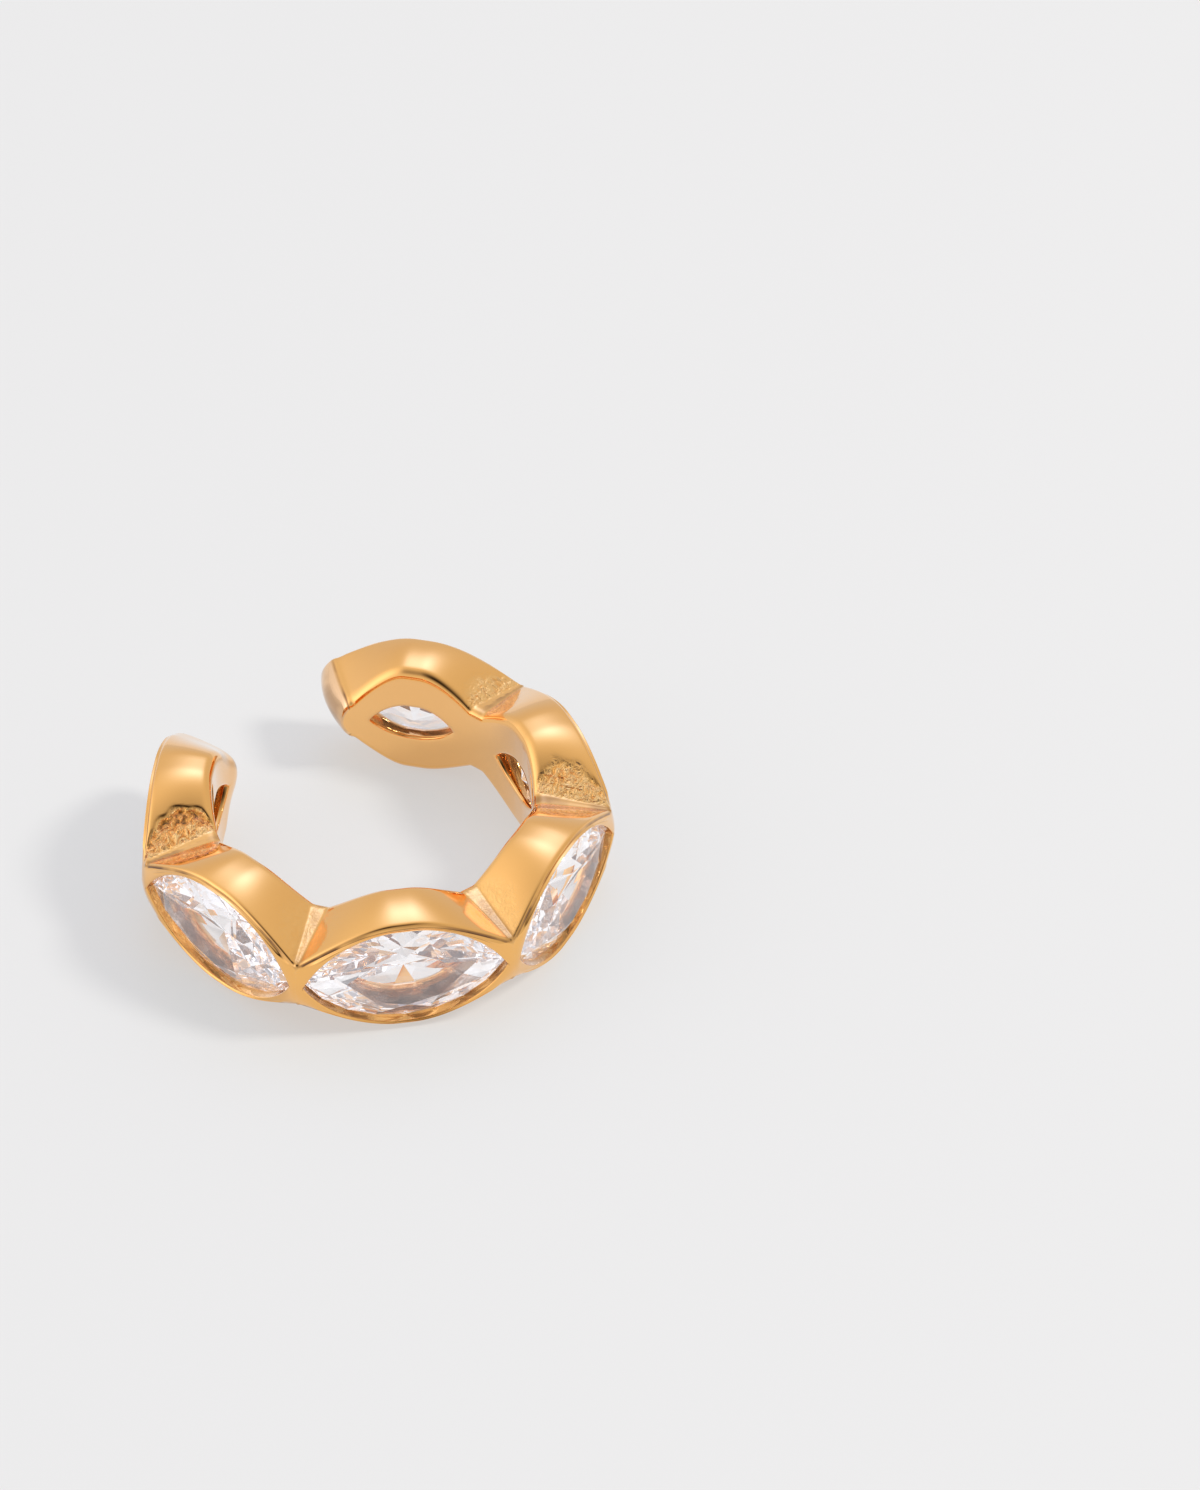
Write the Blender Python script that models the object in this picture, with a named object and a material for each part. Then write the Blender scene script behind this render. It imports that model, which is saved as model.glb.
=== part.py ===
"""Open ear cuff: a cast metal band of marquise settings, each holding one cut stone.

The band is a C that lies flat on its side: its axis is vertical, its opening faces +Y and the
lowest lands stand on z = 0. Every setting is the same short prism with a marquise outline. It
has a front face with a raised rim, a seat for the stone, a small light hole through to the bore,
and side walls that meet the next setting's in a V notch. The two free ends close in a low dome.

A setting is drawn in its own coordinates: u runs along the band, counter-clockwise seen from
above, v runs up, and w runs outwards from the band's axis.
"""
import math

import bmesh
import bpy
from mathutils import Matrix, Vector

MM = 0.001

# Stones: marquise brilliants
STONE_LENGTH = 5.0 * MM
STONE_WIDTH = 3.0 * MM
TABLE_CORNERS = 8
CROWN_HEIGHT = 0.36 * MM
GIRDLE_HEIGHT = 0.10 * MM
PAVILION_DEPTH = 1.10 * MM
TABLE_SHARE = 0.55           # table corners: share of the way from the middle to the girdle
STAR_SHARE = 0.45            # depth of the star facets: share of the crown height
HALF_SHARE = 0.70            # depth of the lower girdle facets: share of the pavilion depth

# Band, from the bore outwards
BORE_RADIUS = 4.05 * MM
CULET_COVER = 0.08 * MM      # from the bore to the stone's lowest point
GIRDLE_RECESS = 0.22 * MM    # from the front face down to the stone's girdle
RIM_WIDTH = 0.24 * MM        # metal beside the seat, at the crest
TIP_WALL = 0.21 * MM         # metal between a seat's tip and the plane where settings meet
LEAST_OPENING = math.radians(40)

# Outline of the side walls
LAND_LENGTH = 0.34 * MM      # the short flat on each crest
FLANK_KNEE = 0.62            # how round the crest is: low is a roof, high is a parabola
SEAT_CORNER_SHARE = 0.88     # the point on a seat's arc that faces a corner of the neck
NECK_EASE = 0.05 * MM        # how far the corner between two front faces is rounded back
NOTCH_EASE = 0.13 * MM       # and the same where a notch cuts it
NECK_WIDTH = 1.38 * MM       # height of the band in a notch, at the outer edge
INNER_NECK_WIDTH = 2.10 * MM  # and at the bore
NOTCH_FLOOR = 0.12 * MM      # length of the notch's floor, at the outer edge
INNER_NOTCH_FLOOR = 0.40 * MM

# Rim, seat and light hole
SEAT_CLEARANCE = 0.03 * MM
RIM_CROWN = 0.03 * MM        # how far the rim's middle stands above its edges
RIM_FALL = 0.05 * MM         # how far the rim's outer edge lies below the front face
OUTER_EDGE = 0.08 * MM       # round edge between the rim and a side wall
BORE_EDGE = 0.50 * MM        # round edge between a side wall and the bore, along the wall
BORE_EDGE_DROP = 0.28 * MM   # and across it
HOLE_DEPTH = 0.40 * MM       # straight part of the light hole
HOLE_SIDE_ROOM = 0.09 * MM   # beside the pavilion, where the hole begins
HOLE_END_ROOM = 0.38 * MM

# Free ends
END_CUT = 0.20 * MM          # how much shorter an end is than the way to a neck
END_WIDTH = 1.36 * MM        # height of the band where its end begins to round over
END_FLOOR = 0.10 * MM        # length of the corner there
END_DOME_OUT = 0.34 * MM     # how far the end bulges, beside the rim
END_DOME_MIDDLE = 0.46 * MM
END_DOME_IN = 0.22 * MM      # and beside the bore

# Mesh resolution
FLANK_SEGMENTS = 7
NECK_HALF_SEGMENTS = 2
WALL_LAYERS = 2
EDGE_STEPS = 3
MERGE_DISTANCE = 0.001 * MM
SAME_FACET = math.radians(0.5)
CREASE_ANGLE = math.radians(40)

# Worked out from the sizes above
FACE_DISTANCE = BORE_RADIUS + CULET_COVER + PAVILION_DEPTH + GIRDLE_HEIGHT + GIRDLE_RECESS
SEAT_HALF_LENGTH = STONE_LENGTH / 2 + SEAT_CLEARANCE
SEAT_HALF_WIDTH = STONE_WIDTH / 2 + SEAT_CLEARANCE
HALF_PITCH = math.atan2(SEAT_HALF_LENGTH + TIP_WALL, FACE_DISTANCE)
SETTING_COUNT = int((2 * math.pi - LEAST_OPENING) / (2 * HALF_PITCH))
CREST = SEAT_HALF_WIDTH + RIM_WIDTH
CORNER_RADIUS = FACE_DISTANCE / math.cos(HALF_PITCH)
NECK_RADIUS = CORNER_RADIUS - NOTCH_EASE
NECK_DEPTH = NECK_RADIUS - BORE_RADIUS
NECK_OUT = Vector((math.sin(HALF_PITCH), 0, math.cos(HALF_PITCH)))
NECK_ALONG = Vector((math.cos(HALF_PITCH), 0, -math.sin(HALF_PITCH)))
GIRDLE_LEVEL = BORE_RADIUS + CULET_COVER + PAVILION_DEPTH
HOLE_LEVEL = BORE_RADIUS + HOLE_DEPTH

GOLD_COLOUR = (0.83, 0.53, 0.20, 1.0)
ZIRCONIA_COLOUR = (0.93, 0.91, 0.90, 1.0)


def clear_scene():
    for thing in list(bpy.data.objects):
        bpy.data.objects.remove(thing, do_unlink=True)


def make_material(name, colour, roughness, metallic):
    material = bpy.data.materials.new(name)
    material.use_nodes = True
    shader = material.node_tree.nodes["Principled BSDF"]
    shader.inputs["Base Color"].default_value = colour
    shader.inputs["Roughness"].default_value = roughness
    shader.inputs["Metallic"].default_value = metallic
    material.diffuse_color = colour
    return material


def mix(start, end, share):
    return start + (end - start) * share


def marquise_point(half_length, half_width, share):
    """A point on a marquise's upper arc; share runs from -1 at one tip to 1 at the other."""
    radius = (half_length ** 2 + half_width ** 2) / (2 * half_width)
    angle = share * math.asin(half_length / radius)
    return radius * math.sin(angle), half_width - radius * (1 - math.cos(angle))


def bore_level(u):
    return math.sqrt(BORE_RADIUS ** 2 - u ** 2)


def end_dome(depth):
    """How far a free end stands past its plane at mid-height, from the rim to the bore."""
    extra = END_DOME_MIDDLE - (END_DOME_OUT + END_DOME_IN) / 2
    return mix(END_DOME_OUT, END_DOME_IN, depth) + extra * (1 - (2 * depth - 1) ** 2)


def wall_quarter(depth, inset, free):
    """A quarter of one layer of the side walls, from a neck's middle to the crest's land.

    depth is 0 at the rim and 1 at the bore; inset narrows the layer, for a round edge.
    """
    cut = END_CUT * math.cos(HALF_PITCH) if free else 0
    neck_u = mix(NECK_RADIUS, BORE_RADIUS, depth) * math.sin(HALF_PITCH) - cut
    bore_neck_u = BORE_RADIUS * math.sin(HALF_PITCH) - cut
    if free:
        neck_v, floor = END_WIDTH / 2 - inset, END_FLOOR
    else:
        neck_v = mix(NECK_WIDTH, INNER_NECK_WIDTH, depth) / 2 - inset
        floor = mix(NOTCH_FLOOR, INNER_NOTCH_FLOOR, depth) / 2
    outline = [(neck_u, neck_v * step / NECK_HALF_SEGMENTS)
               for step in range(NECK_HALF_SEGMENTS + 1)]
    full_fall = math.hypot(FLANK_KNEE, 1) - FLANK_KNEE
    for step in range(FLANK_SEGMENTS + 1):
        run = 1 - step / FLANK_SEGMENTS
        fall = (math.hypot(FLANK_KNEE, run) - FLANK_KNEE) / full_fall
        u = mix(LAND_LENGTH / 2, neck_u - floor, run)
        outline.append((u, mix(CREST - inset, neck_v, fall)))
    quarter = []
    for u, v in outline:
        share = u / neck_u
        rim = mix(FACE_DISTANCE - RIM_FALL, NECK_RADIUS * math.cos(HALF_PITCH), share ** 2)
        bore = bore_level(share * bore_neck_u)
        quarter.append(Vector((u, v, mix(rim, bore, depth))))
    swell = NECK_OUT * (NOTCH_EASE - NECK_EASE) * (1 - depth)
    if free:
        swell += NECK_ALONG * end_dome(depth)
    for point in quarter[:NECK_HALF_SEGMENTS]:
        point += swell * (1 - (point.y / neck_v) ** 2)
    return quarter


def seat_quarter(half_length, half_width, level):
    """The same stations on a marquise, from its tip; level gives w for each u."""
    shares = [mix(1, SEAT_CORNER_SHARE, step / NECK_HALF_SEGMENTS)
              for step in range(NECK_HALF_SEGMENTS + 1)]
    land_share = LAND_LENGTH / (2 * half_length)
    for step in range(1, FLANK_SEGMENTS + 2):
        shares.append(mix(SEAT_CORNER_SHARE, land_share, step / (FLANK_SEGMENTS + 1)))
    points = [marquise_point(half_length, half_width, share) for share in shares]
    return [Vector((u, v, level(u))) for u, v in points]


def full_loop(right, left):
    """Mirror two quarters into a whole loop, counter-clockwise seen from outside the band."""
    right_top = [point.copy() for point in right]
    left_top = [Vector((-p.x, p.y, p.z)) for p in reversed(left)]
    left_bottom = [Vector((-p.x, -p.y, p.z)) for p in left[1:]]
    right_bottom = [Vector((p.x, -p.y, p.z)) for p in reversed(right[1:])]
    return right_top + left_top + left_bottom + right_bottom


def seat_loop(half_length, half_width, level):
    quarter = seat_quarter(half_length, half_width, level)
    return full_loop(quarter, quarter)


QUARTER_POINTS = NECK_HALF_SEGMENTS + FLANK_SEGMENTS + 2
LOOP_POINTS = 4 * QUARTER_POINTS - 2
NECK_MIDDLE = {1: 0, -1: 2 * QUARTER_POINTS - 1}


def neck_points(side):
    """Where a loop crosses a neck, from corner to corner; side is 1 at +u and -1 at -u."""
    middle = NECK_MIDDLE[side]
    return [(middle + step) % LOOP_POINTS
            for step in range(-NECK_HALF_SEGMENTS, NECK_HALF_SEGMENTS + 1)]


def round_edge(across, down, step):
    """Depth and inset of one step round an edge, from the face behind it to the side wall."""
    angle = math.pi / 2 * step / EDGE_STEPS
    return across * (1 - math.cos(angle)) / NECK_DEPTH, down * (1 - math.sin(angle))


def wall_steps():
    """(depth, inset) of each layer of the side walls, from the bore to the rim."""
    bore_edge = [round_edge(BORE_EDGE, BORE_EDGE_DROP, step) for step in range(EDGE_STEPS + 1)]
    rim_edge = [round_edge(OUTER_EDGE, OUTER_EDGE, step) for step in range(EDGE_STEPS + 1)]
    steps = [(1 - depth, inset) for depth, inset in bore_edge]
    start, end = steps[-1][0], rim_edge[-1][0]
    steps += [(mix(start, end, layer / WALL_LAYERS), 0) for layer in range(1, WALL_LAYERS)]
    return steps + rim_edge[::-1]


def setting_rows(free_sides):
    """The loops of a setting: up its walls from the bore, over the rim and down the seat."""
    walls = []
    for depth, inset in wall_steps():
        right, left = (wall_quarter(depth, inset, side in free_sides) for side in (1, -1))
        walls.append(full_loop(right, left))
    pavilion_share = (HOLE_LEVEL - GIRDLE_LEVEL + PAVILION_DEPTH) / PAVILION_DEPTH
    hole = (pavilion_share * STONE_LENGTH / 2 + HOLE_END_ROOM,
            pavilion_share * STONE_WIDTH / 2 + HOLE_SIDE_ROOM)
    seat_edge = seat_loop(SEAT_HALF_LENGTH, SEAT_HALF_WIDTH, lambda u: FACE_DISTANCE)
    seat_floor = seat_loop(SEAT_HALF_LENGTH, SEAT_HALF_WIDTH,
                           lambda u: GIRDLE_LEVEL - SEAT_CLEARANCE)
    hole_top = seat_loop(*hole, lambda u: HOLE_LEVEL)
    hole_edge = seat_loop(*hole, bore_level)
    crown = [rim.lerp(seat, 0.5) + Vector((0, 0, RIM_CROWN))
             for rim, seat in zip(walls[-1], seat_edge)]
    bore_middle = [start.lerp(end, 0.5) for start, end in zip(hole_edge, walls[0])]
    for point in bore_middle:
        point.z = bore_level(point.x)
    return walls, [crown, seat_edge, seat_floor, hole_top, hole_edge, bore_middle]


def setting_frame(index):
    """Turns a setting's coordinates into the band's, with the lowest lands at z = 0."""
    opening = 2 * math.pi - 2 * HALF_PITCH * SETTING_COUNT
    azimuth = math.pi / 2 + opening / 2 + HALF_PITCH * (2 * index + 1)
    along = Vector((-math.sin(azimuth), math.cos(azimuth), 0))
    outward = Vector((math.cos(azimuth), math.sin(azimuth), 0))
    axes = Matrix((along, Vector((0, 0, 1)), outward)).transposed().to_4x4()
    return Matrix.Translation((0, 0, CREST)) @ axes


def add_setting(bm, index):
    """Skin the loops of one setting; a joined neck stays open for the next setting."""
    free_sides = []
    if index == 0:
        free_sides.append(-1)
    if index == SETTING_COUNT - 1:
        free_sides.append(1)
    joined = set()
    for side in (1, -1):
        if side not in free_sides:
            joined.update(neck_points(side)[:-1])
    walls, inside = setting_rows(free_sides)
    frame = setting_frame(index)
    rows = [[bm.verts.new(frame @ point) for point in loop] for loop in walls + inside]
    for number, row in enumerate(rows):
        above = rows[(number + 1) % len(rows)]
        on_wall = number < len(walls) - 1
        for here in range(LOOP_POINTS):
            after = (here + 1) % LOOP_POINTS
            if not (on_wall and here in joined):
                bm.faces.new((row[here], row[after], above[after], above[here]))


def make_band(material):
    bm = bmesh.new()
    for index in range(SETTING_COUNT):
        add_setting(bm, index)
    bmesh.ops.remove_doubles(bm, verts=bm.verts, dist=MERGE_DISTANCE)
    loose = [vert for vert in bm.verts if not vert.link_faces]
    bmesh.ops.delete(bm, geom=loose, context="VERTS")
    return finish_object("cuff_band", bm, material, smooth=True)


def line_crossing(point_a, along_a, point_b, along_b):
    """Where two lines in a plane cross."""
    gap = point_b - point_a
    share = gap.cross(along_b) / along_a.cross(along_b)
    return point_a + along_a * share


def girdle_point(corner):
    """A point of the girdle and the outline's direction there; corner 0 is a tip."""
    quarter_turns = 4 * corner / TABLE_CORNERS
    half_turn = int(quarter_turns // 2)
    share = 1 - (quarter_turns - 2 * half_turn)
    u, v = marquise_point(STONE_LENGTH / 2, STONE_WIDTH / 2, share)
    radius = (STONE_LENGTH ** 2 + STONE_WIDTH ** 2) / (4 * STONE_WIDTH)
    along = Vector((-(v + radius - STONE_WIDTH / 2), u))
    if abs(share) == 1:
        along = Vector((0, 1))
    turn = (-1) ** half_turn
    return Vector((u, v)) * turn, along * turn


def stone_corners():
    """Every corner of the cut stone, with the girdle's lower edge at w = 0."""
    top = GIRDLE_HEIGHT + CROWN_HEIGHT
    corners = [Vector((0, 0, -PAVILION_DEPTH))]
    for corner in range(TABLE_CORNERS):
        here, along = girdle_point(corner)
        after, along_after = girdle_point((corner + 1) % TABLE_CORNERS)
        between = girdle_point(corner + 0.5)[0]
        star = line_crossing(here * mix(TABLE_SHARE, 1, STAR_SHARE), along,
                             after * mix(TABLE_SHARE, 1, STAR_SHARE), along_after)
        half = line_crossing(here * (1 - HALF_SHARE), along,
                             after * (1 - HALF_SHARE), along_after)
        corners.append((here * TABLE_SHARE).to_3d() + Vector((0, 0, top)))
        corners.append(star.to_3d() + Vector((0, 0, top - STAR_SHARE * CROWN_HEIGHT)))
        corners.append(half.to_3d() - Vector((0, 0, HALF_SHARE * PAVILION_DEPTH)))
        for rim in (here, between):
            corners.append(rim.to_3d())
            corners.append(rim.to_3d() + Vector((0, 0, GIRDLE_HEIGHT)))
    return corners


def make_stone(index, material):
    """A cut stone is the convex hull of its facets' corners."""
    bm = bmesh.new()
    for corner in stone_corners():
        bm.verts.new(corner)
    hull = bmesh.ops.convex_hull(bm, input=bm.verts)
    spare = [thing for thing in hull["geom_interior"] if isinstance(thing, bmesh.types.BMVert)]
    bmesh.ops.delete(bm, geom=spare, context="VERTS")
    bmesh.ops.dissolve_limit(bm, angle_limit=SAME_FACET, verts=bm.verts, edges=bm.edges)
    stone = finish_object(f"stone_{index + 1}", bm, material, smooth=False)
    seat = Matrix.Translation((0, 0, GIRDLE_LEVEL))
    stone.matrix_world = setting_frame(index) @ seat
    return stone


def finish_object(name, bm, material, smooth):
    mesh = bpy.data.meshes.new(name)
    bm.to_mesh(mesh)
    bm.free()
    mesh.materials.append(material)
    if smooth:
        mesh.shade_smooth()
        mesh.set_sharp_from_angle(angle=CREASE_ANGLE)
    obj = bpy.data.objects.new(name, mesh)
    bpy.context.scene.collection.objects.link(obj)
    return obj


def centre_footprint(band, pieces):
    """Hang every piece on one empty, placed so that the band's footprint is centred."""
    xs = [vert.co.x for vert in band.data.vertices]
    ys = [vert.co.y for vert in band.data.vertices]
    cuff = bpy.data.objects.new("ear_cuff", None)
    bpy.context.scene.collection.objects.link(cuff)
    cuff.location = (-(min(xs) + max(xs)) / 2, -(min(ys) + max(ys)) / 2, 0)
    for piece in pieces:
        piece.parent = cuff


def main():
    clear_scene()
    gold = make_material("polished_gold", GOLD_COLOUR, roughness=0.18, metallic=1.0)
    zirconia = make_material("clear_zirconia", ZIRCONIA_COLOUR, roughness=0.03, metallic=0.0)
    band = make_band(gold)
    stones = [make_stone(index, zirconia) for index in range(SETTING_COUNT)]
    centre_footprint(band, [band] + stones)


main()
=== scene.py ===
"""Looks of the open ear cuff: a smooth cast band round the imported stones, on a pale floor."""

import math

import bmesh
import bpy
import numpy as np
from mathutils import Matrix, Vector, noise


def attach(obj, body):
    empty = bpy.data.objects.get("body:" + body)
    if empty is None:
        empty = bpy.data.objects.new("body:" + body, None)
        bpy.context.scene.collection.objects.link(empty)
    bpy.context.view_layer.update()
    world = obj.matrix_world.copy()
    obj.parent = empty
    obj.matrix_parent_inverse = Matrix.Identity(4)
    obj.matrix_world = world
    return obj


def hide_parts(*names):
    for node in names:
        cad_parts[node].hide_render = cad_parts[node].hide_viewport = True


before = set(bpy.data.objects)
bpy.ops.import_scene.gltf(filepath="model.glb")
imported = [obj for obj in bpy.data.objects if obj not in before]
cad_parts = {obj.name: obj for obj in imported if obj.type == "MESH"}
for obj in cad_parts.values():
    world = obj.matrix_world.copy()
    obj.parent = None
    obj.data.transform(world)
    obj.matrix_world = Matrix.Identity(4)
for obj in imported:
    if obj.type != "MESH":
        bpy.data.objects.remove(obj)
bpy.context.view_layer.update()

MM = 0.001

# The band's sizes, as in its solid
STONE_LENGTH = 5.0 * MM
STONE_WIDTH = 3.0 * MM
PAVILION_DEPTH = 1.10 * MM
BORE_RADIUS = 4.05 * MM
FACE_DISTANCE = 5.55 * MM        # from the bore's axis to the front of a setting
GIRDLE_LEVEL = 5.23 * MM         # from the bore's axis to a stone's girdle
SEAT_CLEARANCE = 0.03 * MM
SEAT_HALF_LENGTH = STONE_LENGTH / 2 + SEAT_CLEARANCE
SEAT_HALF_WIDTH = STONE_WIDTH / 2 + SEAT_CLEARANCE
TIP_WALL = 0.21 * MM
CREST = SEAT_HALF_WIDTH + 0.24 * MM
SETTING_COUNT = 6
BORE_AXIS_Y = 0.2359 * MM        # from the middle of the footprint to the bore's axis
LAND_LENGTH = 0.34 * MM
FLANK_KNEE = 0.62
SEAT_CORNER_SHARE = 0.88
NECK_EASE = 0.05 * MM
NOTCH_EASE = 0.13 * MM
NECK_WIDTH = 1.38 * MM
INNER_NECK_WIDTH = 2.10 * MM
NOTCH_FLOOR = 0.12 * MM
INNER_NOTCH_FLOOR = 0.40 * MM
HOLE_LEVEL = BORE_RADIUS + 0.40 * MM
HOLE_SIDE_ROOM = 0.09 * MM
HOLE_END_ROOM = 0.38 * MM
END_CUT = 0.20 * MM
END_WIDTH = 1.36 * MM
END_FLOOR = 0.10 * MM
END_DOME_OUT = 0.34 * MM
END_DOME_MIDDLE = 0.46 * MM
END_DOME_IN = 0.22 * MM

HALF_PITCH = math.atan2(SEAT_HALF_LENGTH + TIP_WALL, FACE_DISTANCE)
NECK_RADIUS = FACE_DISTANCE / math.cos(HALF_PITCH) - NOTCH_EASE
NECK_DEPTH = NECK_RADIUS - BORE_RADIUS
NECK_REACH = NECK_RADIUS * math.sin(HALF_PITCH)

# Finer forms that only the looks have
RIM_FALL = 0.05 * MM
RIM_CROWN = 0.035 * MM
RIM_BEAD = 0.045 * MM            # height of the fine bead along the rim's outer edge
RIM_BEAD_END = 0.45              # share of the rim's width that it takes
OUTER_EDGE = 0.11 * MM           # radius of the edge between the rim and a side wall
LIP_DROP = 0.13 * MM             # how far a side wall rolls down towards the bore
LIP_REACH = 0.30 * MM
LIP_EDGE = 0.10 * MM
PILLOW = 0.10 * MM               # how far a side wall's edges lie below its middle
SEAT_EDGE = 0.035 * MM
HOLE_EDGE = 0.02 * MM

# Mesh resolution
NECK_STEPS = 8
FLOOR_STEPS = 4
FLANK_STEPS = 33
FLANK_CROWDING = 1.1             # above 1, the steps crowd towards the notch
EDGE_STEPS = 5
WALL_LAYERS = 28
RIM_STEPS = 13
RIM_CROWDING = 1.4               # above 1, the steps crowd towards the outer edge
SEAT_WALL_STEPS = 3
SEAT_FLOOR_STEPS = 4
HOLE_STEPS = 4
BORE_STEPS = 9
MERGE_DISTANCE = 0.001 * MM

QUARTER = NECK_STEPS + FLOOR_STEPS + FLANK_STEPS + 2
LOOP = 4 * QUARTER - 2
NECK_MIDDLE = {1: 0, -1: 2 * QUARTER - 1}    # place in a loop, by side

# Smoothing. Side -1 of the first setting and side 1 of the last are the free ends.
EVEN_WEIGHT = 0.4
EVEN_ROUNDS = 2
END_WEIGHT = 0.5
END_ROUNDS = 110
END_SMOOTHING = {-1: 1.0, 1: 0.10}
END_REACH = {-1: 0.85 * MM, 1: 0.35 * MM}
END_TIP = 0.10 * MM              # the last stretch is smoothed in full
RIM_TIPS = (0.80, 0.95)          # from where to where on a rim its smoothing sets in

# Rough cast skin beside the notches: its strength by setting, counted from 0, and side of it
CAST_SKIN = {(0, 1): 1.0, (4, -1): 0.95, (5, -1): 0.55, (3, -1): 0.12, (1, 1): 0.10,
             (2, 1): 0.04, (3, 1): 0.05, (1, -1): 0.05, (2, -1): 0.04, (4, 1): 0.05}
NOTCH_SKIN = {(1, 1): 0.16, (2, -1): 0.16, (2, 1): 0.16, (3, -1): 0.16}
# By setting: share of the flank that a patch covers at most, how softly it ends, how deep it is
CAST_REACH = (0.42, 0.36, 0.36, 0.36, 0.50, 0.36)
CAST_FADE = (0.10, 0.20, 0.20, 0.20, 0.20, 0.20)
CAST_DEPTH = (1.0, 0.5, 0.5, 0.5, 0.5, 0.5)
CAST_MIDDLE = 0.475              # share of the wall's depth at which a patch reaches farthest
CAST_LEAST_REACH = 0.1
CAST_START = (-0.01, 0.02)       # how the skin sets in past the notch floor
NOTCH_SKIN_START = (0, 0.02)
CAST_RAGGED = 0.16
CAST_RAGGED_SCALE = 3            # per millimetre, as the three below
CAST_WARP_SCALE = 3
CAST_BROAD_SCALE = 5.0
CAST_FINE_SCALE = 11.0
CAST_FINE_SHARE = 0.5
CAST_WARP = 0.10
CAST_SEED = 1                    # fixes the warp, which would follow the clock otherwise
CAST_TOP = 1.2                   # level of the relief on its ridges
CAST_FALL = 3.2                  # how fast it falls away from them
CAST_LEAST_SKIN = 0.02
CAST_RELIEF = 0.011 * MM
CAST_RECESS = 0.11 * MM

# Painted shade: dark lines and darker tones along the edges, standing in for the shade and dark
# reflections there, from 0 to 1
RIM_LINE = (1.0, 0.95, 0.6)      # on the rim's outer edge, and on the two rows below it
RIM_LINE_MIDDLE = 0.45           # share of it at the middle of a setting
RIM_LINE_GROWTH = (0.25, 0.60)
RIM_LINE_END = (0.95, 0.99)
BEAD_LINE = 0.8                  # inside the bead
BEAD_LINE_ROW = 7
BEAD_LINE_END = (0.66, 0.84)
SEAT_WALL_TONE = 0.5
NOTCH_TONE = 0.50
NOTCH_TONE_START = (0.90, 0.97)
HOLE_TONE = 0.5
END_LINE = {-1: 0, 1: 0.9}       # beside the dome of each free end

# Painted reflection: paler gold where the bore and the free ends would mirror the bright
# surroundings, from 0 to 1
BORE_REFLECTION = 0.12
END_REFLECTION = {-1: 0.10, 1: 0.40}

PAINTED = ("cast_skin", "hollow", "seat", "painted_edge_shade", "painted_reflection", "smoothing")


def mix(start, end, share):
    return start + (end - start) * share


def smooth_step(low, high, value):
    share = np.clip((value - low) / (high - low), 0, 1)
    return share * share * (3 - 2 * share)


def bore_level(u):
    return np.sqrt(BORE_RADIUS ** 2 - u ** 2)


def flat_level(level):
    return lambda u: np.full_like(u, level)


def marquise(half_length, half_width, share):
    """A point of a marquise's outline, at a share of its half length."""
    radius = (half_length ** 2 + half_width ** 2) / (2 * half_width)
    angle = share * math.asin(half_length / radius)
    return radius * np.sin(angle), half_width - radius * (1 - np.cos(angle))


def wall_quarter(depth, inset, free):
    """A quarter of one layer of the side walls, from a neck's middle to the crest."""
    cut = END_CUT * math.cos(HALF_PITCH) if free else 0
    neck_u = mix(NECK_RADIUS, BORE_RADIUS, depth) * math.sin(HALF_PITCH) - cut
    bore_neck_u = BORE_RADIUS * math.sin(HALF_PITCH) - cut
    if free:
        neck_v, floor = END_WIDTH / 2 - inset, END_FLOOR
    else:
        neck_v = mix(NECK_WIDTH, INNER_NECK_WIDTH, depth) / 2 - inset
        floor = mix(NOTCH_FLOOR, INNER_NOTCH_FLOOR, depth) / 2
    rise = np.arange(NECK_STEPS + 1) / NECK_STEPS
    level = np.arange(1, FLOOR_STEPS) / FLOOR_STEPS
    run = 1 - (np.arange(FLANK_STEPS + 2) / (FLANK_STEPS + 1)) ** FLANK_CROWDING
    fall = (np.hypot(FLANK_KNEE, run) - FLANK_KNEE) / (math.hypot(FLANK_KNEE, 1) - FLANK_KNEE)
    crest = CREST - inset - PILLOW * (2 * depth - 1) ** 2
    u = np.concatenate([np.full(NECK_STEPS + 1, neck_u), neck_u - floor * level,
                        mix(LAND_LENGTH / 2, neck_u - floor, run)])
    v = np.concatenate([neck_v * rise, np.full(FLOOR_STEPS - 1, neck_v),
                        mix(crest, neck_v, fall)])
    share = u / neck_u
    rim = mix(FACE_DISTANCE - RIM_FALL, NECK_RADIUS * math.cos(HALF_PITCH), share ** 2)
    w = mix(rim, bore_level(share * bore_neck_u), depth)
    swell = np.where(np.arange(len(u)) <= NECK_STEPS, 1 - (v / neck_v) ** 2, 0)
    out = (NOTCH_EASE - NECK_EASE) * (1 - depth) * swell
    along = 0
    if free:
        extra = END_DOME_MIDDLE - (END_DOME_OUT + END_DOME_IN) / 2
        dome = mix(END_DOME_OUT, END_DOME_IN, depth) + extra * (1 - (2 * depth - 1) ** 2)
        along = dome * swell
    u = u + out * math.sin(HALF_PITCH) + along * math.cos(HALF_PITCH)
    w = w + out * math.cos(HALF_PITCH) - along * math.sin(HALF_PITCH)
    return np.stack([u, v, w], axis=1)


def seat_quarter(half_length, half_width, level):
    """A quarter of a marquise loop, with as many points as a layer of the side walls."""
    corner = SEAT_CORNER_SHARE
    land = LAND_LENGTH / (2 * half_length)
    shares = np.concatenate([mix(1, corner, np.arange(NECK_STEPS + 1) / NECK_STEPS),
                             mix(corner, land, np.arange(1, QUARTER - NECK_STEPS)
                                 / (QUARTER - NECK_STEPS - 1))])
    u, v = marquise(half_length, half_width, shares)
    return np.stack([u, v, level(u)], axis=1)


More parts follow.
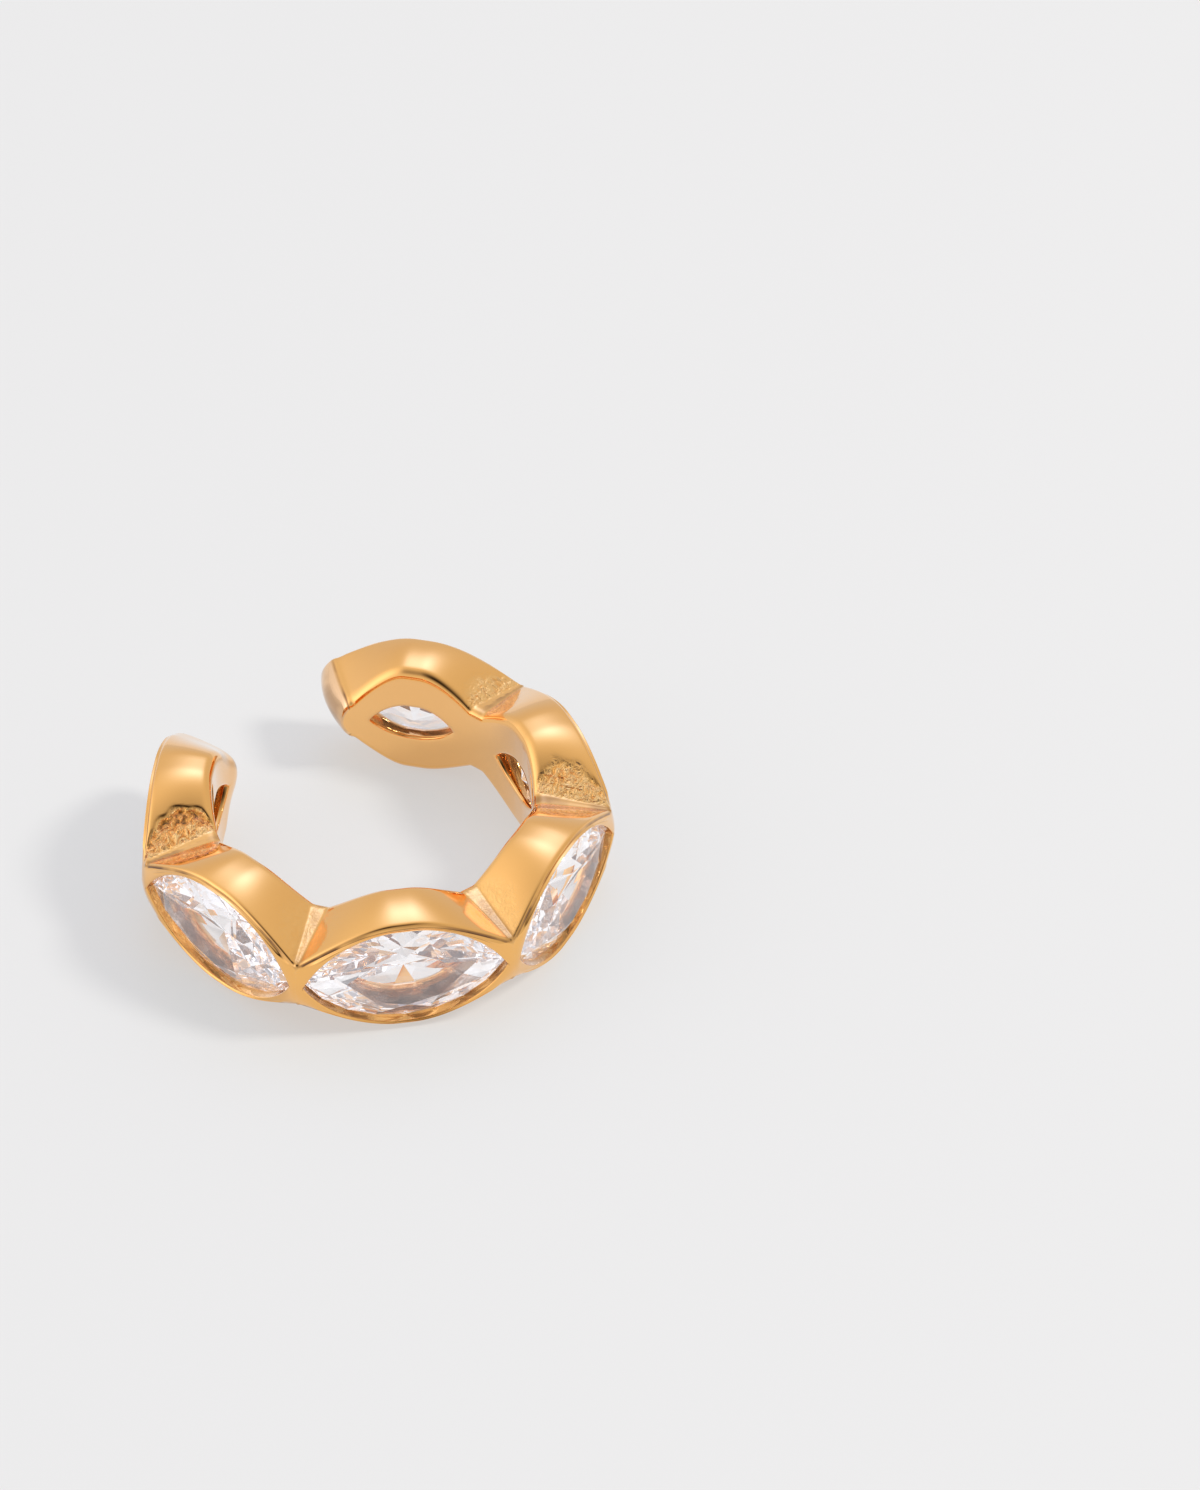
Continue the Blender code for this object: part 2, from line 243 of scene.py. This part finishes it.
def full_loop(right, left):
    """Mirror two quarters into a whole loop, counter-clockwise seen from outside."""
    left_top = left[::-1] * (-1, 1, 1)
    left_bottom = left[1:] * (-1, -1, 1)
    right_bottom = right[:0:-1] * (1, -1, 1)
    return np.concatenate([right, left_top, left_bottom, right_bottom])


def seat_loop(half_length, half_width, level):
    quarter = seat_quarter(half_length, half_width, level)
    return full_loop(quarter, quarter)


def fillet(radius, distance):
    """How far a round edge stands back at a distance from the face that it turns into."""
    near = np.clip(radius - distance, 0, radius)
    return radius - np.sqrt(radius ** 2 - near ** 2)


def wall_layers():
    """(depth, inset) of each layer of the side walls, from the bore to the rim."""
    turns = np.arange(EDGE_STEPS + 1) / EDGE_STEPS * math.pi / 2
    from_bore = LIP_EDGE * (1 - np.cos(turns))
    from_rim = OUTER_EDGE * (1 - np.cos(turns))
    between = np.linspace(from_bore[-1], NECK_DEPTH - from_rim[-1], WALL_LAYERS + 1)
    height = np.concatenate([from_bore[:-1], between, NECK_DEPTH - from_rim[:-1][::-1]])
    roll = LIP_DROP * np.clip(1 - height / LIP_REACH, 0, 1) ** 2
    inset = roll + fillet(LIP_EDGE, height) + fillet(OUTER_EDGE, NECK_DEPTH - height)
    return list(zip(1 - height / NECK_DEPTH, inset))


def blend_rows(first, last, steps):
    """Rows between two loops, without either."""
    return [mix(first, last, step / steps) for step in range(1, steps)]


def rim_rows(wall_top):
    rim_end = seat_loop(SEAT_HALF_LENGTH + SEAT_EDGE, SEAT_HALF_WIDTH + SEAT_EDGE,
                        flat_level(FACE_DISTANCE))
    rows = []
    for step in range(1, RIM_STEPS + 1):
        share = (step / RIM_STEPS) ** RIM_CROWDING
        row = mix(wall_top, rim_end, share)
        bead = math.sin(math.pi * min(share / RIM_BEAD_END, 1)) ** 2
        row[:, 2] += RIM_CROWN * 4 * share * (1 - share) + RIM_BEAD * bead
        rows.append(row)
    return rows


def seat_edge_rows():
    """The round edge from the rim down into the seat."""
    rows = []
    for step in range(1, EDGE_STEPS):
        turn = math.pi / 2 * step / (EDGE_STEPS - 1)
        out = SEAT_EDGE * (1 - math.sin(turn))
        rows.append(seat_loop(SEAT_HALF_LENGTH + out, SEAT_HALF_WIDTH + out,
                              flat_level(FACE_DISTANCE - SEAT_EDGE * (1 - math.cos(turn)))))
    return rows


def setting_parts(layers, free_sides):
    """The loops of a setting up its walls, over the rim, down through the hole to the bore."""
    walls = [full_loop(*(wall_quarter(depth, inset, side in free_sides) for side in (1, -1)))
             for depth, inset in layers]
    edge = seat_edge_rows()
    pavilion_share = (HOLE_LEVEL - GIRDLE_LEVEL + PAVILION_DEPTH) / PAVILION_DEPTH
    hole = (pavilion_share * STONE_LENGTH / 2 + HOLE_END_ROOM,
            pavilion_share * STONE_WIDTH / 2 + HOLE_SIDE_ROOM)
    seat_floor = seat_loop(SEAT_HALF_LENGTH, SEAT_HALF_WIDTH,
                           flat_level(GIRDLE_LEVEL - SEAT_CLEARANCE))
    hole_top = seat_loop(*hole, flat_level(HOLE_LEVEL))
    hole_low = seat_loop(*hole, lambda u: bore_level(u) + HOLE_EDGE)
    hole_mouth = seat_loop(hole[0] + HOLE_EDGE, hole[1] + HOLE_EDGE, bore_level)
    bore = [hole_mouth] + blend_rows(hole_mouth, walls[0], BORE_STEPS)
    for row in bore:
        row[:, 2] = bore_level(row[:, 0])
    return {"walls": walls,
            "rim": rim_rows(walls[-1]),
            "edge": edge,
            "seat_wall": blend_rows(edge[-1], seat_floor, SEAT_WALL_STEPS) + [seat_floor],
            "seat_floor": blend_rows(seat_floor, hole_top, SEAT_FLOOR_STEPS),
            "hole": [hole_top] + blend_rows(hole_top, hole_low, HOLE_STEPS) + [hole_low],
            "bore": bore}


def part_slices(parts):
    """Where each part's rows lie among all the rows of a setting."""
    slices, start = {}, 0
    for name, rows in parts.items():
        slices[name] = slice(start, start + len(rows))
        start += len(rows)
    return slices


def setting_frame(index):
    """Turns a setting's coordinates into the whole part's."""
    opening = 2 * math.pi - 2 * HALF_PITCH * SETTING_COUNT
    azimuth = math.pi / 2 + opening / 2 + HALF_PITCH * (2 * index + 1)
    along = Vector((-math.sin(azimuth), math.cos(azimuth), 0))
    outward = Vector((math.cos(azimuth), math.sin(azimuth), 0))
    axes = Matrix((along, Vector((0, 0, 1)), outward)).transposed().to_4x4()
    return Matrix.Translation((0, BORE_AXIS_Y, CREST)) @ axes


def cast_skin(index, layers, rows):
    """How rough and how sunk the cast skin is at each vertex of a setting, from 0 to 1."""
    skin, sunk = np.zeros(rows.shape[:2]), np.zeros(rows.shape[:2])
    for number, (depth, _) in enumerate(layers):
        loop = rows[number]
        ragged = np.array([noise.noise(Vector(point) / MM * CAST_RAGGED_SCALE)
                           for point in loop])
        half_round = max(0, 1 - (2 * (depth - CAST_MIDDLE)) ** 2) ** 0.5
        reach = CAST_REACH[index] * half_round * (1 + CAST_RAGGED * ragged)
        floor_end = (mix(NECK_RADIUS, BORE_RADIUS, depth) * math.sin(HALF_PITCH)
                     - mix(NOTCH_FLOOR, INNER_NOTCH_FLOOR, depth) / 2)
        for side in (1, -1):
            here = loop[:, 0] * side > 0
            along = 1 - loop[:, 0] * side / floor_end
            patch = (CAST_SKIN.get((index, side), 0)
                     * smooth_step(0, CAST_FADE[index], reach - along)
                     * smooth_step(*CAST_START, along))
            deeper = np.clip(along / np.maximum(reach, CAST_LEAST_REACH), 0, 1)
            floor = NOTCH_SKIN.get((index, side), 0) * smooth_step(*NOTCH_SKIN_START, -along)
            sunk[number] = np.maximum(sunk[number], CAST_DEPTH[index] * patch * deeper * here)
            skin[number] = np.maximum(skin[number], np.maximum(patch, floor) * here)
    return skin, sunk


def edge_lines(rows, part):
    """Painted shade along a setting's edges: how dark its lines and tones are at each vertex,
    from 0 to 1.
    """
    lines = np.zeros(rows.shape[:2])
    share = np.abs(rows[:, :, 0]) / NECK_REACH
    outer = part["walls"].stop - 1
    for below, strength in enumerate(RIM_LINE):
        row = outer - below
        grown = mix(RIM_LINE_MIDDLE, 1, smooth_step(*RIM_LINE_GROWTH, share[row]))
        lines[row] = strength * grown * (1 - smooth_step(*RIM_LINE_END, share[row]))
    bead = part["rim"].start + BEAD_LINE_ROW
    lines[bead] = BEAD_LINE * (1 - smooth_step(*BEAD_LINE_END, share[bead]))
    lines[part["edge"].stop - 1:part["seat_wall"].stop - 1] = SEAT_WALL_TONE
    lines[part["hole"].start + 1:part["hole"].stop - 1] = HOLE_TONE
    for row in range(1, outer):
        notch = NOTCH_TONE * smooth_step(*NOTCH_TONE_START, share[row] / share[row].max())
        lines[row] = np.maximum(lines[row], notch)
    return lines


def end_nearness(side, layers, rows, part):
    """How near each vertex is to the free end on a side of its setting, from 0 to 1."""
    depth = np.zeros(len(rows))
    depth[part["walls"]] = [layer[0] for layer in layers]
    depth[part["bore"]] = 1
    end = mix(NECK_RADIUS, BORE_RADIUS, depth) * math.sin(HALF_PITCH) - END_CUT
    near = smooth_step(-END_REACH[side], -END_TIP, rows[:, :, 0] * side - end[:, None])
    # The seat and the rows next to it keep their shape
    near[part["rim"].stop - 3:part["bore"].start + 2] = 0
    return near


def paint_setting(index, free_sides, layers, rows, part):
    """Each painted value at each vertex of a setting, from 0 to 1."""
    paint = {name: np.zeros(rows.shape[:2]) for name in PAINTED}
    paint["cast_skin"], paint["hollow"] = cast_skin(index, layers, rows)
    # The seat floor, which the material paints greyish brown as a painted reflection under the
    # stone
    paint["seat"][part["seat_floor"]] = 1
    # Painted shade along the edges
    paint["painted_edge_shade"] = edge_lines(rows, part)
    # Painted reflection: paler gold on the bore
    paint["painted_reflection"][0] = paint["painted_reflection"][part["bore"]] = BORE_REFLECTION
    walls, rim = part["walls"], part["rim"]
    front = slice(walls.stop - 2, rim.stop - 1)
    paint["smoothing"][front] = smooth_step(*RIM_TIPS, np.abs(rows[front, :, 0]) / NECK_REACH)
    for side in free_sides:
        near = end_nearness(side, layers, rows, part)
        paint["smoothing"] = np.maximum(paint["smoothing"], END_SMOOTHING[side] * near)
        dome = (NECK_MIDDLE[side] + np.arange(-NECK_STEPS, NECK_STEPS + 1)) % LOOP
        # Painted reflection: paler gold on the free end's dome
        paint["painted_reflection"][1:walls.stop - 1, dome[1:-1]] = END_REFLECTION[side]
        # Painted shade: a dark line on each side of the free end's dome
        paint["painted_edge_shade"][1:walls.stop - 1, dome[[0, -1]]] = END_LINE[side]
    return paint


def setting_faces(start, wall_count, row_count, free_sides):
    """Quads between neighbouring rows, with none where a neck joins the next setting."""
    joined = set()
    for side, middle in NECK_MIDDLE.items():
        if side not in free_sides:
            joined.update((middle + step) % LOOP for step in range(-NECK_STEPS, NECK_STEPS))
    faces = []
    for number in range(row_count):
        above = (number + 1) % row_count
        for here in range(LOOP):
            if number < wall_count - 1 and here in joined:
                continue
            after = (here + 1) % LOOP
            faces.append([start + number * LOOP + here, start + number * LOOP + after,
                          start + above * LOOP + after, start + above * LOOP + here])
    return faces


def build_band():
    """Vertices, faces and painted values of all the settings, not yet joined."""
    points, faces, paints = [], [], []
    layers = wall_layers()
    for index in range(SETTING_COUNT):
        free_sides = [side for side, last in ((-1, 0), (1, SETTING_COUNT - 1)) if index == last]
        parts = setting_parts(layers, free_sides)
        rows = np.array([row for part in parts.values() for row in part])
        faces += setting_faces(index * len(rows) * LOOP, len(layers), len(rows), free_sides)
        place = np.array(setting_frame(index))
        points.append(rows.reshape(-1, 3) @ place[:3, :3].T + place[:3, 3])
        paints.append(paint_setting(index, free_sides, layers, rows, part_slices(parts)))
    painted = {name: np.concatenate([paint[name].reshape(-1) for paint in paints])
               for name in PAINTED}
    return np.concatenate(points), faces, painted


def relax(points, edges, weights, rounds):
    """Laplacian smoothing by each vertex's weight."""
    ends = np.concatenate([edges, edges[:, ::-1]])
    degree = np.bincount(ends[:, 0], minlength=len(points))[:, None]
    for _ in range(rounds):
        mean = np.stack([np.bincount(ends[:, 0], points[ends[:, 1], axis], len(points))
                         for axis in range(3)], axis=1) / degree
        points = points + (mean - points) * weights[:, None]
    return points


def read_values(collection, name, width, kind=float):
    """One property of all the items of a mesh collection."""
    values = np.zeros(len(collection) * width, kind)
    collection.foreach_get(name, values)
    return values.reshape(-1, width) if width > 1 else values


def cast_relief(points, skin):
    """Height of the cast grains at each vertex, as a share of their full height."""
    noise.seed_set(CAST_SEED)
    relief = np.zeros(len(points))
    for vert in np.nonzero(skin > CAST_LEAST_SKIN)[0]:
        place = Vector(points[vert]) / MM
        warp = noise.noise_vector(place * CAST_WARP_SCALE) * CAST_WARP
        broad = abs(noise.noise((place + warp) * CAST_BROAD_SCALE))
        fine = abs(noise.noise(place * CAST_FINE_SCALE))
        relief[vert] = skin[vert] * (CAST_TOP - CAST_FALL * (broad + CAST_FINE_SHARE * fine))
    return relief


def join_settings(mesh):
    """Merges the settings at their necks, and drops the vertices inside them."""
    bm = bmesh.new()
    bm.from_mesh(mesh)
    bmesh.ops.remove_doubles(bm, verts=bm.verts, dist=MERGE_DISTANCE)
    bmesh.ops.delete(bm, geom=[vert for vert in bm.verts if not vert.link_faces],
                     context="VERTS")
    bm.to_mesh(mesh)
    bm.free()


def make_band(material):
    points, faces, painted = build_band()
    mesh = bpy.data.meshes.new("cuff_band_smooth")
    mesh.from_pydata(points, [], faces)
    for name, values in painted.items():
        attribute = mesh.attributes.new(name, "FLOAT", "POINT")
        attribute.data.foreach_set("value", values.astype(np.float32))
    join_settings(mesh)
    skin, sunk, smoothing = (read_values(mesh.attributes[name].data, "value", 1)
                             for name in ("cast_skin", "hollow", "smoothing"))
    edges = read_values(mesh.edges, "vertices", 2, int)
    points = read_values(mesh.vertices, "co", 3)
    points = relax(points, edges, np.full(len(points), EVEN_WEIGHT), EVEN_ROUNDS)
    points = relax(points, edges, END_WEIGHT * smoothing, END_ROUNDS)
    mesh.vertices.foreach_set("co", points.reshape(-1))
    normals = read_values(mesh.vertices, "normal", 3)
    raised = cast_relief(points, skin) * CAST_RELIEF - sunk * CAST_RECESS
    points = points + normals * raised[:, None]
    mesh.vertices.foreach_set("co", points.reshape(-1))
    mesh.attributes.remove(mesh.attributes["smoothing"])
    mesh.shade_smooth()
    mesh.materials.append(material)
    band = bpy.data.objects.new("cuff_band_smooth", mesh)
    bpy.context.scene.collection.objects.link(band)
    return band


# Materials: colours, scales per metre, and heights of the bumps
GOLD = (0.95, 0.50, 0.135, 1)
LIGHT_GOLD = (0.99, 0.56, 0.175, 1)
# Painted reflection: the paler gold of the bore and the free ends
REFLECTED_PALE_GOLD = (1.0, 0.80, 0.64, 1)
# Painted shade: the brown of the dark lines and tones along the edges
SHADE_BROWN = (0.16, 0.06, 0.01, 1)
# Painted reflection: the seat floor under each stone is greyish brown instead of gold, which
# darkens and greys what the stone shows of it
SEAT_SHADE_BROWN = (0.10, 0.06, 0.04, 1)
SEAT_SHADE_GREY = (0.56, 0.45, 0.37, 1)
# The cast skin's tones, from the grains' low points to their tops: painted shade in the pits
# and painted highlight on the tops
CAST_TONES = [(0.15, (0.26, 0.115, 0.015, 1)),    # position on the ramp, colour
              (0.32, (0.95, 0.46, 0.11, 1)),
              (0.50, (1.0, 0.635, 0.26, 1))]
# Painted shade: the deep end of a patch is darker, as if shaded in its hollow
CAST_HOLLOW_SHADE = -0.30              # how far the deep end of a patch moves down that ramp
GOLD_SCALE = 420.0
BREAK_SCALE = 1100.0
BREAK_RANGE = {"From Min": 0.38, "From Max": 0.58, "To Min": 0.25}
RIPPLE_SCALE = 2600.0
RIPPLE_HEIGHT = 0.02 * MM
RIPPLE_STRENGTH = 0.035
WANDER_SCALE = 5000.0
WANDER_REACH = 0.10 * MM
GRAIN_SCALE = 4300.0
GRAIN_HEIGHT = 0.24 * MM
GOLD_ROUGHNESS = {"To Min": 0.085, "To Max": 0.07}    # polished, cast
CLOUD_SCALE = 900.0
CLOUD = (0.985, 0.975, 0.99, 1)
CLEAR = (1.0, 0.995, 1.0, 1)
STONE_INDEX = 2.0
STONE_GLOW = 0.030               # a trace of light, so that no facet turns black
STONE_GLOW_COLOUR = (0.94, 0.92, 1.0, 1)


def new_material(name):
    material = bpy.data.materials.new(name)
    material.use_nodes = True
    tree = material.node_tree
    return material, tree, tree.nodes["Principled BSDF"]


def set_inputs(node, values):
    for name, value in values.items():
        node.inputs[name].default_value = value


def add_node(tree, kind, **values):
    node = tree.nodes.new(kind)
    for name, value in values.items():
        if name in node.inputs:
            node.inputs[name].default_value = value
        else:
            setattr(node, name, value)
    return node


def add_noise(tree, place, scale, detail=2.0, distortion=0.0):
    node = add_node(tree, "ShaderNodeTexNoise", Scale=scale, Detail=detail,
                    Distortion=distortion)
    tree.links.new(place, node.inputs["Vector"])
    return node


def add_mix(tree, factor, first, second):
    """A mixed colour's socket; each of the two is a colour or a socket."""
    node = add_node(tree, "ShaderNodeMix", data_type="RGBA")
    tree.links.new(factor, node.inputs["Factor"])
    for name, value in (("A", first), ("B", second)):
        if isinstance(value, tuple):
            node.inputs[name].default_value = value
        else:
            tree.links.new(value, node.inputs[name])
    return node.outputs["Result"]


def painted_value(tree, name):
    return add_node(tree, "ShaderNodeAttribute", attribute_name=name).outputs["Fac"]


def multiply_add(tree, value, factor, added):
    node = add_node(tree, "ShaderNodeMath", operation="MULTIPLY_ADD")
    tree.links.new(value, node.inputs[0])
    node.inputs[1].default_value = factor
    tree.links.new(added, node.inputs[2])
    return node.outputs[0]


def gold_colour(tree, place, skin, grains):
    """Gold with painted reflection where it is paler and painted shade where it is darker, as
    the mesh says, and the mottled cast skin with painted shade in its pits and painted
    highlight on its grains.
    """
    link = tree.links.new
    broken = add_noise(tree, place, BREAK_SCALE)
    share = add_node(tree, "ShaderNodeMapRange")
    set_inputs(share, BREAK_RANGE)
    link(broken.outputs["Fac"], share.inputs["Value"])
    # Painted shade: the dark lines and tones along the edges, broken up by noise
    line = add_node(tree, "ShaderNodeMath", operation="MULTIPLY")
    link(painted_value(tree, "painted_edge_shade"), line.inputs[0])
    link(share.outputs["Result"], line.inputs[1])
    tone = add_noise(tree, place, GOLD_SCALE, detail=3.0)
    colour = add_mix(tree, tone.outputs["Fac"], GOLD, LIGHT_GOLD)
    # Painted reflection: paler gold on the bore and the free ends
    colour = add_mix(tree, painted_value(tree, "painted_reflection"), colour, REFLECTED_PALE_GOLD)
    colour = add_mix(tree, line.outputs[0], colour, SHADE_BROWN)
    # Painted reflection: the seat floor greyish brown instead of gold
    seat = add_mix(tree, share.outputs["Result"], SEAT_SHADE_BROWN, SEAT_SHADE_GREY)
    colour = add_mix(tree, painted_value(tree, "seat"), colour, seat)

    tones = add_node(tree, "ShaderNodeValToRGB")
    ramp = tones.color_ramp.elements
    ramp[0].position, ramp[0].color = CAST_TONES[0]
    ramp[1].position, ramp[1].color = CAST_TONES[-1]
    for position, tone_colour in CAST_TONES[1:-1]:
        ramp.new(position).color = tone_colour
    # Painted shade: the sunk part of a patch moves down to the darker tones
    link(multiply_add(tree, painted_value(tree, "hollow"), CAST_HOLLOW_SHADE, grains),
         tones.inputs["Fac"])
    return add_mix(tree, skin, colour, tones.outputs["Color"])


def gold():
    """Polished gold with a faint ripple, and a rough cast skin where the mesh says so."""
    material, tree, shader = new_material("polished_gold_cast")
    link = tree.links.new
    place = add_node(tree, "ShaderNodeTexCoord").outputs["Object"]
    skin = painted_value(tree, "cast_skin")
    wander = add_noise(tree, place, WANDER_SCALE)
    moved = add_node(tree, "ShaderNodeVectorMath", operation="MULTIPLY_ADD")
    link(wander.outputs["Color"], moved.inputs[0])
    moved.inputs[1].default_value = (WANDER_REACH, WANDER_REACH, WANDER_REACH)
    link(place, moved.inputs[2])
    grains = add_noise(tree, moved.outputs["Vector"], GRAIN_SCALE, detail=4.0,
                       distortion=1.3).outputs["Fac"]
    link(gold_colour(tree, place, skin, grains), shader.inputs["Base Color"])
    set_inputs(shader, {"Metallic": 1.0, "Coat Weight": 1.0, "Coat Roughness": 0.06,
                        "Coat IOR": 1.6})
    rough = add_node(tree, "ShaderNodeMapRange")
    set_inputs(rough, GOLD_ROUGHNESS)
    link(skin, rough.inputs["Value"])
    link(rough.outputs["Result"], shader.inputs["Roughness"])

    ripple = add_noise(tree, place, RIPPLE_SCALE)
    fine = add_node(tree, "ShaderNodeBump", Strength=RIPPLE_STRENGTH, Distance=RIPPLE_HEIGHT)
    link(ripple.outputs["Fac"], fine.inputs["Height"])
    coarse = add_node(tree, "ShaderNodeBump", Distance=GRAIN_HEIGHT)
    link(skin, coarse.inputs["Strength"])
    link(grains, coarse.inputs["Height"])
    link(fine.outputs["Normal"], coarse.inputs["Normal"])
    link(coarse.outputs["Normal"], shader.inputs["Normal"])
    return material


def zirconia():
    """Clear cut stone, with a trace of cloud in its colour."""
    material, tree, shader = new_material("clear_zirconia_cut")
    place = add_node(tree, "ShaderNodeTexCoord").outputs["Object"]
    cloud = add_noise(tree, place, CLOUD_SCALE)
    tree.links.new(add_mix(tree, cloud.outputs["Fac"], CLOUD, CLEAR),
                   shader.inputs["Base Color"])
    set_inputs(shader, {"Transmission Weight": 1.0, "Roughness": 0.0, "IOR": STONE_INDEX,
                        "Emission Color": STONE_GLOW_COLOUR, "Emission Strength": STONE_GLOW})
    return material


# Camera, in millimetres in the part's frame
CAMERA_PLACE = Vector((-40.699, -62.459, 70.909))
CAMERA_RIGHT = Vector((0.80154, -0.59780, 0.01292))
CAMERA_UP = Vector((0.38961, 0.53854, 0.74712))
CAMERA_BACK = Vector((-0.45359, -0.59381, 0.66457))
FOCAL_LENGTH = 96.4
SENSOR_SIZE = 36
CLIP_START = 1 * MM
CLIP_END = 100

GROUND_RIGHT = Vector((CAMERA_RIGHT.x, CAMERA_RIGHT.y, 0)).normalized()
GROUND_AWAY = Vector((-CAMERA_BACK.x, -CAMERA_BACK.y, 0)).normalized()

# Light. Directions are (right, away, up) from the camera's side.
KEY_POWER = 1.3
KEY_SIZE = 0.11
KEY_DISTANCE = 0.5
KEY_DIRECTION = (0.95, -0.05, 1.0)
SKY_COLOUR = (0.61, 0.605, 0.60, 1)
GLOWS = [                        # direction, tightness, colour; the last one darkens
    ((0.08, 0.74, 1.15), 24.0, (0.56, 0.82, 1.75)),
    ((0.0, 0.3, 1.0), 5.0, (0.10, 0.10, 0.11)),
    ((-1.0, -0.3, 0.30), 5.0, (0.72, 0.72, 0.86)),
    ((0.0, -1.0, 1.20), 9.0, (-0.62, -0.62, -0.62)),
]
FLOOR_ALBEDO = (0.270, 0.263, 0.248, 1)
FLOOR_LIFT = 0.433               # the floor's own light, which keeps its shadows soft
FLOOR_HALF = 1.5


def make_camera():
    data = bpy.data.cameras.new("camera")
    data.lens = FOCAL_LENGTH
    data.sensor_width = SENSOR_SIZE
    data.clip_start = CLIP_START
    data.clip_end = CLIP_END
    camera = bpy.data.objects.new("camera", data)
    axes = Matrix((CAMERA_RIGHT, CAMERA_UP, CAMERA_BACK)).transposed().to_4x4()
    camera.matrix_world = Matrix.Translation(CAMERA_PLACE * MM) @ axes
    bpy.context.scene.collection.objects.link(camera)
    bpy.context.scene.camera = camera


def studio_direction(right, away, up):
    """A direction told from the camera's side."""
    return (GROUND_RIGHT * right + GROUND_AWAY * away + Vector((0, 0, up))).normalized()


def make_key_light():
    """Throws the soft shadows; the sky alone shows in the metal."""
    data = bpy.data.lights.new("key_light", "AREA")
    data.shape = "DISK"
    data.size = KEY_SIZE
    data.energy = KEY_POWER
    light = bpy.data.objects.new("key_light", data)
    towards = studio_direction(*KEY_DIRECTION)
    light.location = towards * KEY_DISTANCE
    light.rotation_euler = towards.to_track_quat("Z", "Y").to_euler()
    light.visible_glossy = False
    bpy.context.scene.collection.objects.link(light)


def add_glow(tree, place, total, direction, tightness, colour):
    """Adds one soft round glow of the sky; a tighter one is smaller."""
    link = tree.links.new
    toward = add_node(tree, "ShaderNodeVectorMath", operation="DOT_PRODUCT")
    link(place.outputs["Generated"], toward.inputs[0])
    toward.inputs[1].default_value = direction
    less = add_node(tree, "ShaderNodeMath", operation="SUBTRACT")
    link(toward.outputs["Value"], less.inputs[0])
    less.inputs[1].default_value = 1.0
    scaled = add_node(tree, "ShaderNodeMath", operation="MULTIPLY")
    link(less.outputs[0], scaled.inputs[0])
    scaled.inputs[1].default_value = tightness
    glow = add_node(tree, "ShaderNodeMath", operation="EXPONENT")
    link(scaled.outputs[0], glow.inputs[0])
    tinted = add_node(tree, "ShaderNodeVectorMath", operation="SCALE")
    tinted.inputs[0].default_value = colour
    link(glow.outputs[0], tinted.inputs["Scale"])
    added = add_node(tree, "ShaderNodeVectorMath", operation="ADD")
    link(total, added.inputs[0])
    link(tinted.outputs["Vector"], added.inputs[1])
    return added.outputs["Vector"]


def make_world():
    world = bpy.data.worlds.new("studio")
    bpy.context.scene.world = world
    world.use_nodes = True
    tree = world.node_tree
    place = add_node(tree, "ShaderNodeTexCoord")
    base = add_node(tree, "ShaderNodeRGB")
    base.outputs["Color"].default_value = SKY_COLOUR
    total = base.outputs["Color"]
    for direction, tightness, colour in GLOWS:
        total = add_glow(tree, place, total, studio_direction(*direction), tightness, colour)
    tree.links.new(total, tree.nodes["Background"].inputs["Color"])


def make_floor():
    mesh = bpy.data.meshes.new("floor")
    corners = [(-1, -1), (1, -1), (1, 1), (-1, 1)]
    mesh.from_pydata([(x * FLOOR_HALF, y * FLOOR_HALF, 0) for x, y in corners],
                     [], [(0, 1, 2, 3)])
    floor = bpy.data.objects.new("floor", mesh)
    material, _, shader = new_material("pale_floor")
    set_inputs(shader, {"Base Color": FLOOR_ALBEDO, "Roughness": 1.0,
                        "Specular IOR Level": 0.0, "Emission Color": (1, 1, 1, 1),
                        "Emission Strength": FLOOR_LIFT})
    mesh.materials.append(material)
    bpy.context.scene.collection.objects.link(floor)


def main():
    band = make_band(gold())
    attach(band, "root")
    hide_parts("cuff_band")
    stone = zirconia()
    for name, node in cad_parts.items():
        if name.startswith("stone"):
            node.data.materials.clear()
            node.data.materials.append(stone)
            node.data.shade_flat()
    make_camera()
    make_world()
    make_floor()
    make_key_light()
    scene = bpy.context.scene
    scene.view_settings.view_transform = "Standard"
    scene.view_settings.look = "Medium High Contrast"
    # A cut stone sends light back only after many reflections inside it
    scene.cycles.max_bounces = 24
    scene.cycles.glossy_bounces = 16
    scene.cycles.transmission_bounces = 24


main()
